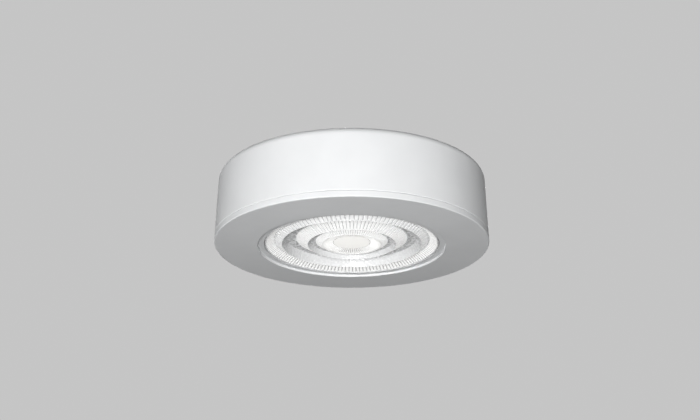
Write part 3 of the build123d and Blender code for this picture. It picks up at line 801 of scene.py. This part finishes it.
def lens_tree():
    """Turns an outline once round the axis and cuts the ribs into it."""
    tree, given = geometry_tree("Ribbed lens", ("Columns", "Int"), ("Depth", "Float"))
    outline, columns = given["Geometry"], given["Columns"]
    rows = add(tree, "GeometryNodeAttributeDomainSize", Geometry=outline)["Point Count"]
    lines = calc(tree, "ADD", columns, 1)
    grid = add(tree, "GeometryNodeMeshGrid", Vertices_X=lines, Vertices_Y=rows)["Mesh"]
    index = add(tree, "GeometryNodeInputIndex")["Index"]
    column = calc(tree, "FLOOR", calc(tree, "DIVIDE", index, rows))
    row = calc(tree, "SUBTRACT", index, calc(tree, "MULTIPLY", column, rows))

    def sampled(kind, source):
        return add(tree, "GeometryNodeSampleIndex", kind, Geometry=outline, Value=source, Index=row)["Value"]

    def marked(name):
        mark = add(tree, "GeometryNodeInputNamedAttribute", "FLOAT", Name=name)["Attribute"]
        return sampled("FLOAT", mark)

    half_rib = calc(tree, "DIVIDE", calc(tree, "DIVIDE", columns, 2), marked("ribs"))
    across = calc(tree, "DIVIDE", calc(tree, "PINGPONG", column, half_rib), half_rib)
    short = calc(tree, "DIVIDE", calc(tree, "SUBTRACT", 1.0, across), marked("notch"))
    notch = calc(tree, "SUBTRACT", 1.0, short, clamped=True)
    cut = calc(tree, "MULTIPLY", marked("rib"), notch)
    position = sampled("FLOAT_VECTOR", add(tree, "GeometryNodeInputPosition")["Position"])
    at = add(tree, "ShaderNodeSeparateXYZ", Vector=position)
    turn = calc(tree, "MULTIPLY", calc(tree, "DIVIDE", column, columns), 2 * pi)
    place = add(
        tree, "ShaderNodeCombineXYZ",
        X=calc(tree, "MULTIPLY", at["X"], calc(tree, "COSINE", turn)),
        Y=calc(tree, "MULTIPLY", at["X"], calc(tree, "SINE", turn)),
        Z=calc(tree, "ADD", at["Z"], calc(tree, "MULTIPLY", cut, given["Depth"])),
    )["Vector"]
    shape = grid
    # The marks carry the cut of the ribs, the painted shade deep in the grooves and the painted glow
    for name, value in (("cut", cut), ("deep", marked("deep")), ("glow", marked("glow"))):
        marks = {"Geometry": shape, "Name": name, "Value": value}
        shape = add(tree, "GeometryNodeStoreNamedAttribute", **marks)["Geometry"]
    shape = add(tree, "GeometryNodeSetPosition", Geometry=shape, Position=place)["Geometry"]
    shape = add(tree, "GeometryNodeMergeByDistance", Geometry=shape, Distance=WELD)["Geometry"]
    close_tree(tree, shape, given["Material"])
    return tree


class SPOT_OT_lens(bpy.types.Operator):
    """Ribbed lens in the bezel's window"""

    bl_idname = "spot.lens"
    bl_label = "Lens"

    def execute(self, context):
        lens = context.scene.spot_lens
        outline = lens_outline(lens)
        mesh = point_mesh("ribbed_lens", [(point.radius, 0.0, point.height) for point in outline], True)
        # The marks of painted glow and painted shade go with the outline's points
        for name in ("glow", "ribs", "rib", "notch", "deep"):
            marks = mesh.attributes.new(name, "FLOAT", "POINT")
            marks.data.foreach_set("value", [getattr(point, name) for point in outline])
        piece = new_piece("ribbed_lens", mesh)
        clear = finish_of("lens_clear")
        grow(piece, lens_tree(), Columns=lens.columns, Depth=lens.rib_depth, Material=clear)
        with reshaped(piece.data) as shape:
            bmesh.ops.recalc_face_normals(shape, faces=shape.faces[:])
        sharpen(piece.data, LENS_SHARP)
        stand_for(piece, "lens")
        return {"FINISHED"}


# Shapes that are set several times


def lathe(name, outline, sides):
    """A closed turned shape from an outline of radius and height, both ends on the axis."""
    mesh = bpy.data.meshes.new(name)
    turns = [2 * pi * i / sides for i in range(sides)]
    with reshaped(mesh) as shape:
        rings = []
        for radius, height in outline:
            ring = [(radius * cos(turn), radius * sin(turn), height) for turn in turns]
            corners = [shape.verts.new(place) for place in (ring if radius else ring[:1])]
            rings.append(corners if radius else corners * sides)
        for one, other in zip(rings, rings[1:]):
            for i in range(sides):
                shape.faces.new(dict.fromkeys((one[i - 1], one[i], other[i], other[i - 1])))
        bmesh.ops.recalc_face_normals(shape, faces=shape.faces[:])
    return mesh


def block(name, *size, middle=0.0):
    """A box whose middle has the given height."""
    mesh = bpy.data.meshes.new(name)
    with reshaped(mesh) as shape:
        bmesh.ops.create_cube(shape, size=1.0)
        bmesh.ops.scale(shape, verts=shape.verts, vec=size)
        bmesh.ops.translate(shape, verts=shape.verts, vec=(0.0, 0.0, middle))
    return mesh


def strip(name, line, sheet, width):
    """A bent strip of sheet along a line of y and z, as wide as given along x."""
    mesh = bpy.data.meshes.new(name)
    with reshaped(mesh) as shape:
        rings = []
        for y, z in line:
            corners = ((-width / 2, z), (width / 2, z), (width / 2, z + sheet), (-width / 2, z + sheet))
            rings.append([shape.verts.new((x, y, height)) for x, height in corners])
        for one, other in zip(rings, rings[1:]):
            for i in range(4):
                shape.faces.new((one[i], one[i - 3], other[i - 3], other[i]))
        shape.faces.new(rings[0])
        shape.faces.new(rings[-1])
        bmesh.ops.recalc_face_normals(shape, faces=shape.faces[:])
    return mesh


def copies_tree():
    """Sets one shape on every point, each turned by its own set turn and by chance."""
    tree, given = geometry_tree(
        "Copies on points", ("Shape", "Object"), ("Flip", "Float"), ("Chance", "Float"), ("Seed", "Int")
    )
    shape = add(tree, "GeometryNodeObjectInfo", Object=given["Shape"])["Geometry"]
    chance = add(tree, "FunctionNodeRandomValue", "FLOAT", Max=given["Chance"], Seed=given["Seed"])["Value"]
    chosen = add(tree, "GeometryNodeInputNamedAttribute", "FLOAT", Name="turn")["Attribute"]
    turn = add(tree, "ShaderNodeCombineXYZ", X=given["Flip"], Z=calc(tree, "ADD", chance, chosen))["Vector"]
    copies = add(
        tree, "GeometryNodeInstanceOnPoints", Points=given["Geometry"], Instance=shape, Rotation=turn
    )
    close_tree(tree, copies["Instances"], given["Material"])
    return tree


def set_copies(name, tree, source, points, slot, flip=0.0, chance=0.0, seed=0):
    """A piece made of copies of a shape on points of x, y, z and turn. The shape itself goes."""
    mesh = point_mesh(name, [point[:3] for point in points])
    turns = mesh.attributes.new("turn", "FLOAT", "POINT")
    turns.data.foreach_set("value", [point[3] for point in points])
    piece = new_piece(name, mesh)
    grow(piece, tree, Shape=source, Flip=flip, Chance=chance, Seed=seed, Material=finish_of(slot))
    bpy.data.objects.remove(source)
    return piece


# Light source and driver

LEG_BENDS = (0.4, 0.65)  # shares of a chip leg's reach between which it goes down
SOLDER_SLOPE = ((1.0, 0.0), (0.8, 0.2), (0.65, 0.6))  # shares of a joint's radius and height
SOLDER_FIT = 1.05  # a joint ends in this many radii of its lead
SMALL_SHARP = 40.0  # degrees past which an edge shows as sharp


class SPOT_OT_source(bpy.types.Operator):
    """Light source, its holder and the heat sink"""

    bl_idname = "spot.source"
    bl_label = "Light Source"

    def execute(self, context):
        metal = context.scene.spot_metal
        soften(metal.cast_edge, heat_sink="finned_sink")
        soften(
            metal.sheet_edge,
            thermal_pad="soft_pad",
            led_carrier="source_carrier",
            led_phosphor="glowing_patch",
            led_holder="source_holder",
        )
        return {"FINISHED"}


def chip_legs(board, top):
    """A leg of the chip, and the places of all its legs."""
    low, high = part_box("driver_chip")
    start, end = (share * board.leg_reach for share in LEG_BENDS)
    line = [(-board.leg_root, board.leg_rise), (start, board.leg_rise), (end, 0.0), (board.leg_reach, 0.0)]
    places = []
    for i in range(board.legs_per_side):
        x = (low.x + high.x) / 2 + (i - (board.legs_per_side - 1) / 2) * board.leg_pitch
        places += [(x, high.y, top, 0.0), (x, low.y, top, pi)]
    return strip("leg", line, board.leg_sheet, board.leg_width), places


def resistor_places(board, top):
    """Places of the chip resistors, a row on each side of the socket."""
    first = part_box("supply_socket")[0].y + board.resistor_start
    rows = (first, first + board.resistor_pitch)
    return [(side * board.resistor_aside, y, top, 0.0) for side in (-1, 1) for y in rows]


def resistor_block(board, name, long):
    """A resistor's body or end, which stands on the board."""
    size = (long, board.resistor_width, board.resistor_height)
    return block(name, *size, middle=board.resistor_height / 2)


def solder_joints(board, top):
    """A solder joint, and the places of both."""
    slope = [(out * board.solder_radius, up * board.solder_height) for out, up in SOLDER_SLOPE]
    peak = [(SOLDER_FIT * board.lead_radius, board.solder_height), (0.0, board.solder_height)]
    leads = (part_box("lead_black"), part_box("lead_red"))
    places = [((low.x + high.x) / 2, high.y - board.lead_radius, top, 0.0) for low, high in leads]
    return lathe("solder", [(0.0, 0.0), *slope, *peak], board.solder_sides), places


class SPOT_OT_driver(bpy.types.Operator):
    """Driver board with its parts, socket and leads"""

    bl_idname = "spot.driver"
    bl_label = "Driver Board"

    def execute(self, context):
        soften(
            context.scene.spot_metal.sheet_edge,
            driver_board="green_board",
            driver_chip="board_chip",
            driver_inductor="board_coil",
            driver_capacitor="board_can",
            supply_socket="ivory_socket",
            socket_pins="brass_pins",
            lead_red="red_lead",
            lead_black="black_lead",
        )
        self.add_small_parts(context.scene.spot_board)
        return {"FINISHED"}

    def add_small_parts(self, board):
        """Legs of the chip, chip resistors and solder joints, which the solids leave out."""
        tree = copies_tree()
        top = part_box("driver_board")[1].z
        bodies = resistor_places(board, top)
        half = (board.resistor_length - board.resistor_end) / 2
        ends = [(x + side * half, y, top, 0.0) for x, y, *_ in bodies for side in (-1, 1)]
        body = resistor_block(board, "resistor", board.resistor_length - 2 * board.resistor_end)
        end = resistor_block(board, "resistor_end", board.resistor_end)
        for name, slot, mesh, places in (
            ("chip_legs", "fastener_steel", *chip_legs(board, top)),
            ("resistor_bodies", "chip_black", body, bodies),
            ("resistor_ends", "fastener_steel", end, ends),
            ("solder_joints", "can_aluminium", *solder_joints(board, top)),
        ):
            piece = set_copies(name, tree, new_piece(mesh.name, mesh), places, slot)
            sharpen(piece.data, SMALL_SHARP)
            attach(piece, "spot")


# Screws

HEADS_UP = {"plate_screws": False, "bezel_screws": True, "holder_screws": False, "board_screws": True}
TIP_SHARE = 0.25  # bevel of a screw's tip, in shares of its radius
HEAD_OUTLINE = (  # shares of a head's radius and height
    (0.97, 0.0), (1.0, 0.06), (1.0, 0.4), (0.95, 0.62), (0.83, 0.82), (0.62, 0.95), (0.35, 1.0), (0.0, 1.0),
)
SLOT_TAPER = 0.8  # the bottom of a slot beside its top


def cut_slot(piece, metal, *size):
    """Cuts one slot into a screw's head, smaller at its bottom."""
    top = metal.head_height
    cutter = new_piece("slot", block("slot", *size, 2 * metal.slot_depth, middle=top))
    for corner in cutter.data.vertices:
        if corner.co.z < top:
            corner.co.xy *= SLOT_TAPER
    cut = piece.modifiers.new("Slot", "BOOLEAN")
    cut.object = cutter
    cut.operation = "DIFFERENCE"
    cut.solver = "EXACT"
    settle(piece)
    bpy.data.objects.remove(cutter)


def screw(metal, shank_length):
    """A pan-head screw with a cross slot, its head above the height 0."""
    shank = metal.shank_radius
    tip = TIP_SHARE * shank
    outline = [
        (0.0, -shank_length),
        (shank - tip, -shank_length),
        (shank, tip - shank_length),
        (shank, 0.0),
        *((out * metal.head_radius, up * metal.head_height) for out, up in HEAD_OUTLINE),
    ]
    piece = new_piece("screw", lathe("screw", outline, metal.screw_sides))
    cut_slot(piece, metal, metal.slot_length, metal.slot_width)
    cut_slot(piece, metal, metal.slot_width, metal.slot_length)
    sharpen(piece.data, SMALL_SHARP)
    return piece


def node_middles(node):
    """Middle of each loose solid of a node, in plan."""
    shape = bmesh.new()
    shape.from_mesh(frame["nodes"][node].data)
    bmesh.ops.remove_doubles(shape, verts=shape.verts[:], dist=CAD_WELD)
    left, middles = set(shape.verts), []
    while left:
        reached, solid = [left.pop()], []
        while reached:
            corner = reached.pop()
            solid.append(corner.co.copy())
            beside = {link.other_vert(corner) for link in corner.link_edges} & left
            left -= beside
            reached += beside
        xs, ys = [p.x for p in solid], [p.y for p in solid]
        middles.append(((min(xs) + max(xs)) / 2, (min(ys) + max(ys)) / 2))
    shape.free()
    return sorted(middles)


class SPOT_OT_screws(bpy.types.Operator):
    """All small screws, set in their places"""

    bl_idname = "spot.screws"
    bl_label = "Screws"

    def execute(self, context):
        metal = context.scene.spot_metal
        tree = copies_tree()
        for seed, (node, head_up) in enumerate(HEADS_UP.items()):
            low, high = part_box(node)
            source = screw(metal, high.z - low.z - metal.head_height)
            seat = high.z - metal.head_height if head_up else low.z + metal.head_height
            points = [(x, y, seat, 0.0) for x, y in node_middles(node)]
            flip = 0.0 if head_up else pi
            piece = set_copies("zinc_" + node, tree, source, points, "fastener_steel", flip, 2 * pi, seed)
            stand_for(piece, node)
        return {"FINISHED"}


# Clips

WIRE_SHARP = 50.0  # degrees past which an edge shows as sharp


def wire_tree():
    """A round wire along a line of points."""
    tree, given = geometry_tree("Wire", ("Radius", "Float"), ("Sides", "Int"))
    line = add(tree, "GeometryNodeMeshToCurve", Mesh=given["Geometry"])["Curve"]
    section = add(
        tree, "GeometryNodeCurvePrimitiveCircle", Radius=given["Radius"], Resolution=given["Sides"]
    )["Curve"]
    wire = add(tree, "GeometryNodeCurveToMesh", Curve=line, Profile_Curve=section, Fill_Caps=True)["Mesh"]
    close_tree(tree, wire, given["Material"])
    return tree


def spring_line(clip, side):
    """Tail, coil and leg of a clip's spring as points."""

    def coil(share):
        turn = clip.start_turn + share * (clip.end_turn - clip.start_turn)
        x = side * (clip.pivot_out + clip.coil_radius * sin(turn))
        y = (2 * share - 1) * clip.coil_half
        return Vector((x, y, -clip.pivot_down + clip.coil_radius * cos(turn)))

    points = [coil(i / clip.coil_steps) for i in range(clip.coil_steps + 1)]
    tail = (points[0] - points[1]).normalized() * clip.tail
    leg = (points[-1] - points[-2]).normalized() * clip.leg
    return [points[0] + tail, points[0] + tail / 2, *points, points[-1] + leg / 2, points[-1] + leg]


class SPOT_OT_clips(bpy.types.Operator):
    """Sprung clips on both sides"""

    bl_idname = "spot.clips"
    bl_label = "Clips"

    def execute(self, context):
        clip = context.scene.spot_clip
        edge = context.scene.spot_metal.sheet_edge
        wire = wire_tree()
        soften(edge, bracket_rivets="clip_rivets")
        for side, name in ((-1, "left"), (1, "right")):
            soften(edge, **{f"clip_{part}_{name}": f"{part}_{name}" for part in ("bracket", "pin", "arm")})
            spring = new_piece("spring_" + name, point_mesh("spring_" + name, spring_line(clip, side), True))
            steel = finish_of("spring_steel")
            grow(spring, wire, Radius=clip.wire_radius, Sides=clip.wire_sides, Material=steel)
            sharpen(spring.data, WIRE_SHARP)
            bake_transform(spring)
            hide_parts("clip_spring_" + name)
        return {"FINISHED"}


# Stage

FLOOR_HALF = 6000.0 * MM
SENSOR_WIDTH = 36.0  # millimetres
NEAR_LIMIT = 10.0 * MM
LAMP_SPREAD = radians(90.0)


def soft_lamp(name, place, size, power, target):
    data = bpy.data.lights.new(name, "AREA")
    data.shape = "DISK"
    data.size = size
    data.energy = power
    data.spread = LAMP_SPREAD
    lamp = bpy.data.objects.new(name, data)
    lamp.location = place
    lamp.rotation_euler = (target - lamp.location).to_track_quat("-Z", "Y").to_euler()
    bpy.context.scene.collection.objects.link(lamp)


def seen_directly(tree):
    """1 for rays from the camera, a gloss or a clear piece, otherwise 0."""
    path = add(tree, "ShaderNodeLightPath")
    straight = calc(tree, "MAXIMUM", path["Is Camera Ray"], path["Is Glossy Ray"])
    return calc(tree, "MAXIMUM", straight, path["Is Transmission Ray"])


class SPOT_OT_stage(bpy.types.Operator):
    """Floor, soft light and the camera"""

    bl_idname = "spot.stage"
    bl_label = "Stage"

    def execute(self, context):
        stage = context.scene.spot_stage
        self.make_world(context, stage)
        self.make_floor(stage)
        self.make_camera(context, stage)
        self.make_lamps(stage)
        context.scene.view_settings.view_transform = "Standard"
        return {"FINISHED"}

    def make_world(self, context, stage):
        world = bpy.data.worlds.new("plain_room")
        context.scene.world = world
        world.use_nodes = True
        tree = world.node_tree
        tree.nodes.clear()
        fill = add(tree, "ShaderNodeBackground", Color=(1.0, 1.0, 1.0, 1.0), Strength=stage.fill)
        shown = add(tree, "ShaderNodeBackground", Color=(*stage.backdrop, 1.0))
        mix = tree.nodes.new("ShaderNodeMixShader")
        for source, socket in zip((seen_directly(tree), fill["Background"], shown["Background"]), mix.inputs):
            put(tree, source, socket)
        add(tree, "ShaderNodeOutputWorld", Surface=mix.outputs["Shader"])

    def make_floor(self, stage):
        mesh = bpy.data.meshes.new("pale_floor")
        with reshaped(mesh) as shape:
            bmesh.ops.create_grid(shape, x_segments=1, y_segments=1, size=FLOOR_HALF)
            bmesh.ops.translate(shape, verts=shape.verts, vec=(0.0, 0.0, -stage.floor_drop))
        floor = new_piece("pale_floor", mesh)
        material, tree, shader = finish(
            "floor_pale", Roughness=0.9, Base_Color=(*stage.floor, 1.0), Emission_Color=(*stage.backdrop, 1.0)
        )
        feed(tree, shader, Emission_Strength=seen_directly(tree))
        mesh.materials.append(material)

    def make_camera(self, context, stage):
        data = bpy.data.cameras.new("photo_camera")
        data.sensor_width = SENSOR_WIDTH
        data.lens = stage.focal_length
        data.clip_start = NEAR_LIMIT
        camera = bpy.data.objects.new("photo_camera", data)
        camera.location = (
            -stage.view_aside,
            -stage.view_distance * cos(stage.view_elevation),
            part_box("rim_seal")[0].z - stage.face_drop - stage.view_distance * sin(stage.view_elevation),
        )
        camera.rotation_euler = (pi / 2 + stage.view_pitch, 0.0, 0.0)
        context.scene.collection.objects.link(camera)
        context.scene.camera = camera

    def make_lamps(self, stage):
        middle = (cad_box[0] + cad_box[1]) / 2

        def placed(aside, down, distance):
            """A place at an angle to the right of the camera and below the drum."""
            return middle + distance * Vector((cos(down) * sin(aside), -cos(down) * cos(aside), -sin(down)))

        key = placed(-stage.key_aside, stage.key_elevation, stage.key_distance)
        soft_lamp("key_light", key, stage.key_size, stage.key_power, middle)
        for name, side in (("left", -1), ("right", 1)):
            place = placed(side * stage.side_aside, 0.0, stage.key_distance)
            soft_lamp(name + "_light", place, stage.key_size, stage.side_power, middle)
        back = placed(pi, -stage.view_elevation, stage.back_distance)
        soft_lamp("back_light", back, stage.back_size, stage.back_power, middle)


class SPOT_PT_panel(bpy.types.Panel):
    """Lists the operators and their settings"""

    bl_label = "Drum Spotlight"
    bl_idname = "SPOT_PT_panel"
    bl_space_type = "VIEW_3D"
    bl_region_type = "UI"
    bl_category = "Spotlight"

    def draw(self, context):
        for operator in OPERATORS:
            self.layout.operator(operator.bl_idname)
        for group, settings in SETTINGS.items():
            box = self.layout.box()
            for name in settings.__annotations__:
                box.prop(getattr(context.scene, group), name)


SETTINGS = {
    "spot_shell": SpotShellSettings,
    "spot_lens": SpotLensSettings,
    "spot_source": SpotSourceSettings,
    "spot_metal": SpotMetalSettings,
    "spot_board": SpotBoardSettings,
    "spot_clip": SpotClipSettings,
    "spot_stage": SpotStageSettings,
}
OPERATORS = (
    SPOT_OT_shell,
    SPOT_OT_lens,
    SPOT_OT_fixing,
    SPOT_OT_source,
    SPOT_OT_driver,
    SPOT_OT_screws,
    SPOT_OT_clips,
    SPOT_OT_stage,
)


def register():
    for group, settings in SETTINGS.items():
        bpy.utils.register_class(settings)
        setattr(bpy.types.Scene, group, bpy.props.PointerProperty(type=settings))
    for operator in OPERATORS:
        bpy.utils.register_class(operator)
    bpy.utils.register_class(SPOT_PT_panel)


def unregister():
    bpy.utils.unregister_class(SPOT_PT_panel)
    for operator in reversed(OPERATORS):
        bpy.utils.unregister_class(operator)
    for group, settings in SETTINGS.items():
        delattr(bpy.types.Scene, group)
        bpy.utils.unregister_class(settings)


def main():
    register()
    bpy.ops.spot.shell()
    bpy.ops.spot.lens()
    bpy.ops.spot.fixing()
    bpy.ops.spot.source()
    bpy.ops.spot.driver()
    bpy.ops.spot.screws()
    bpy.ops.spot.clips()
    bpy.ops.spot.stage()


if __name__ == "__main__":
    main()
